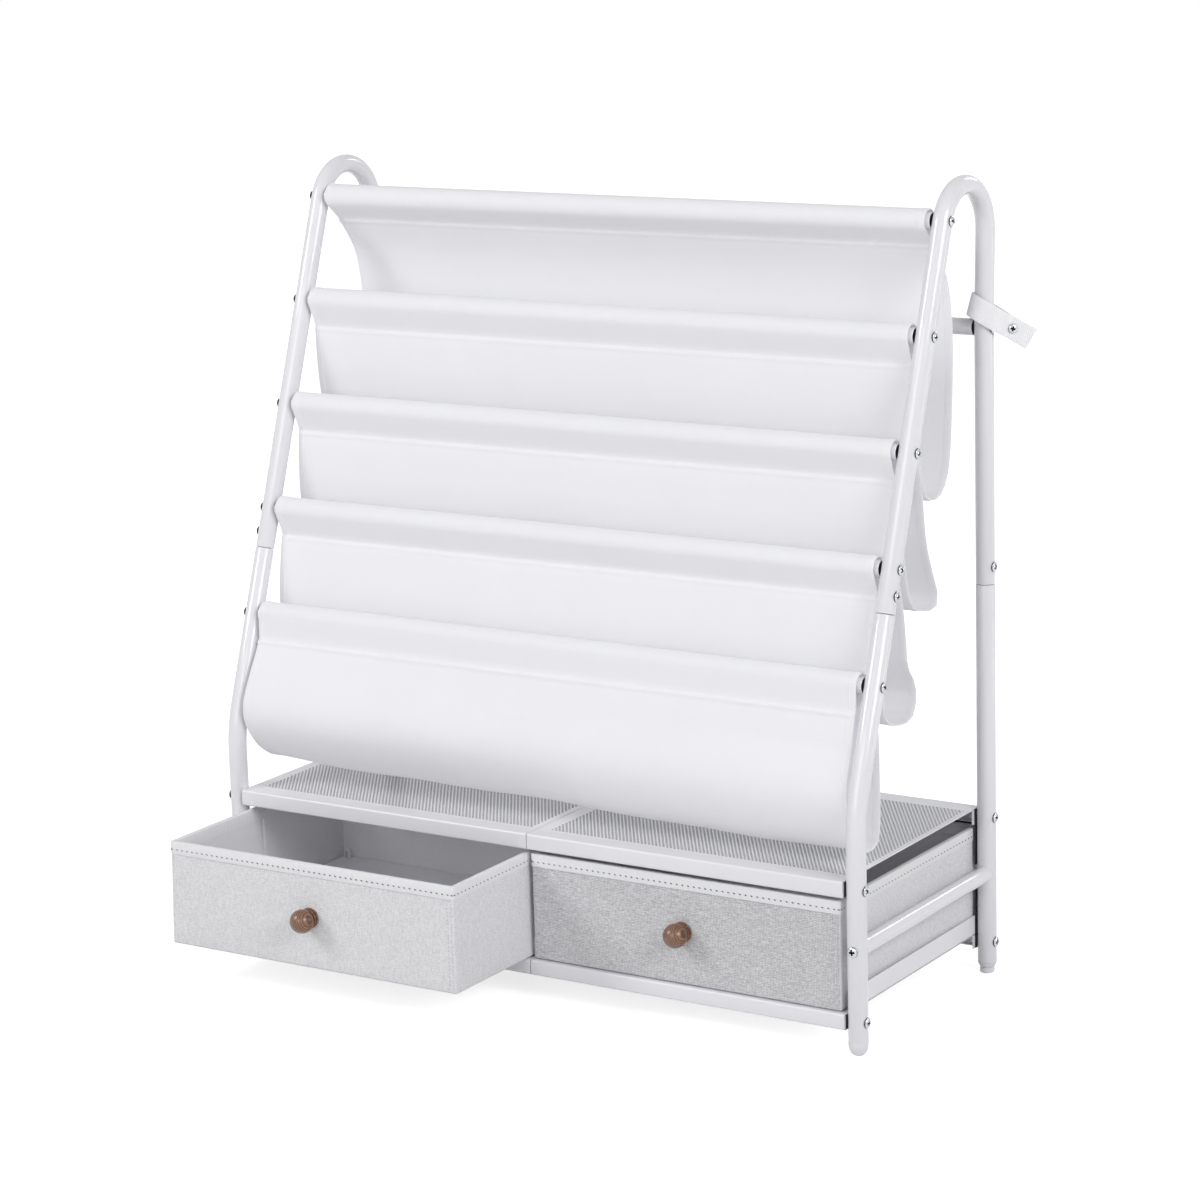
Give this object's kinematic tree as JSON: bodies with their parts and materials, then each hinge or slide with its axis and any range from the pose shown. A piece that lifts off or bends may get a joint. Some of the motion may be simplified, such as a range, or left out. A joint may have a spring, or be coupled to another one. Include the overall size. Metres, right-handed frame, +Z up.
{
  "type": "sling bookshelf",
  "caption": "Children's bookshelf with a bent tube frame, a canvas sling of stepped pockets for books, and fabric drawers that slide on a sheet-steel tray below",
  "frame": {"origin": "centre of the bounding box's base, on the floor", "axes": "+Z up, +X to the right seen from the front, the front faces -Y; the left drawer stands open"},
  "size_m": [0.896, 0.5326, 0.9201],
  "materials": {
    "painted_tube": "white powder coat, satin",
    "painted_sheet": "white powder coat, satin",
    "zinc_screw": "zinc plated",
    "foot_plastic": "moulded, matt",
    "sling_canvas": "plain woven cotton canvas",
    "drawer_linen": "open plain weave, matt",
    "drawer_lining": "non-woven cloth over board, matt",
    "rim_binding": "folded ribbon, matt",
    "base_cloth": "non-woven cloth over board, matt",
    "knob_wood": "turned, oiled",
    "strap_webbing": "woven polyester webbing"
  },
  "bodies": {
    "frame": {"hairpin_tube_left": "painted_tube", "front_leg_left": "painted_tube", "rear_leg_left": "painted_tube", "side_rail_left": "painted_tube", "deck_panel_left": "painted_sheet", "tray_panel_left": "painted_sheet", "front_foot_left": "foot_plastic", "rear_foot_left": "foot_plastic", "hairpin_tube_right": "painted_tube", "front_leg_right": "painted_tube", "rear_leg_right": "painted_tube", "side_rail_right": "painted_tube", "deck_panel_right": "painted_sheet", "tray_panel_right": "painted_sheet", "front_foot_right": "foot_plastic", "rear_foot_right": "foot_plastic", "sling_rod_1": "painted_tube", "sling_rod_2": "painted_tube", "sling_rod_3": "painted_tube", "sling_rod_4": "painted_tube", "sling_rod_5": "painted_tube", "rear_rod": "painted_tube", "rod_screw_1_left": "zinc_screw", "rod_screw_1_right": "zinc_screw", "rod_screw_2_left": "zinc_screw", "rod_screw_2_right": "zinc_screw", "rod_screw_3_left": "zinc_screw", "rod_screw_3_right": "zinc_screw", "rod_screw_4_left": "zinc_screw", "rod_screw_4_right": "zinc_screw", "rod_screw_5_left": "zinc_screw", "rod_screw_5_right": "zinc_screw", "rear_rod_screw_left": "zinc_screw", "rear_rod_screw_right": "zinc_screw", "front_joint_screw_left": "zinc_screw", "front_joint_screw_right": "zinc_screw", "rear_joint_screw_left": "zinc_screw", "rear_joint_screw_right": "zinc_screw", "front_deck_screw_left": "zinc_screw", "front_deck_screw_right": "zinc_screw", "rear_deck_screw_left": "zinc_screw", "rear_deck_screw_right": "zinc_screw", "sling_pocket_1": "sling_canvas", "sling_pocket_2": "sling_canvas", "sling_pocket_3": "sling_canvas", "sling_pocket_4": "sling_canvas", "webbing_strap": "strap_webbing", "strap_screw": "zinc_screw"},
    "drawer_left": {"drawer_left_shell": "drawer_linen", "drawer_left_lining": "drawer_lining", "drawer_left_rim_binding": "rim_binding", "drawer_left_base_board": "base_cloth", "drawer_left_knob": "knob_wood", "drawer_left_knob_screw": "zinc_screw"},
    "drawer_right": {"drawer_right_shell": "drawer_linen", "drawer_right_lining": "drawer_lining", "drawer_right_rim_binding": "rim_binding", "drawer_right_base_board": "base_cloth", "drawer_right_knob": "knob_wood", "drawer_right_knob_screw": "zinc_screw"}
  },
  "joints": [
    {"name": "drawer_left_slide", "type": "slide", "parent": "frame", "child": "drawer_left", "axis": [0, -1, 0], "range_m": [-0.148, 0]},
    {"name": "drawer_right_slide", "type": "slide", "parent": "frame", "child": "drawer_right", "axis": [0, -1, 0], "range_m": [0, 0.148]}
  ]
}
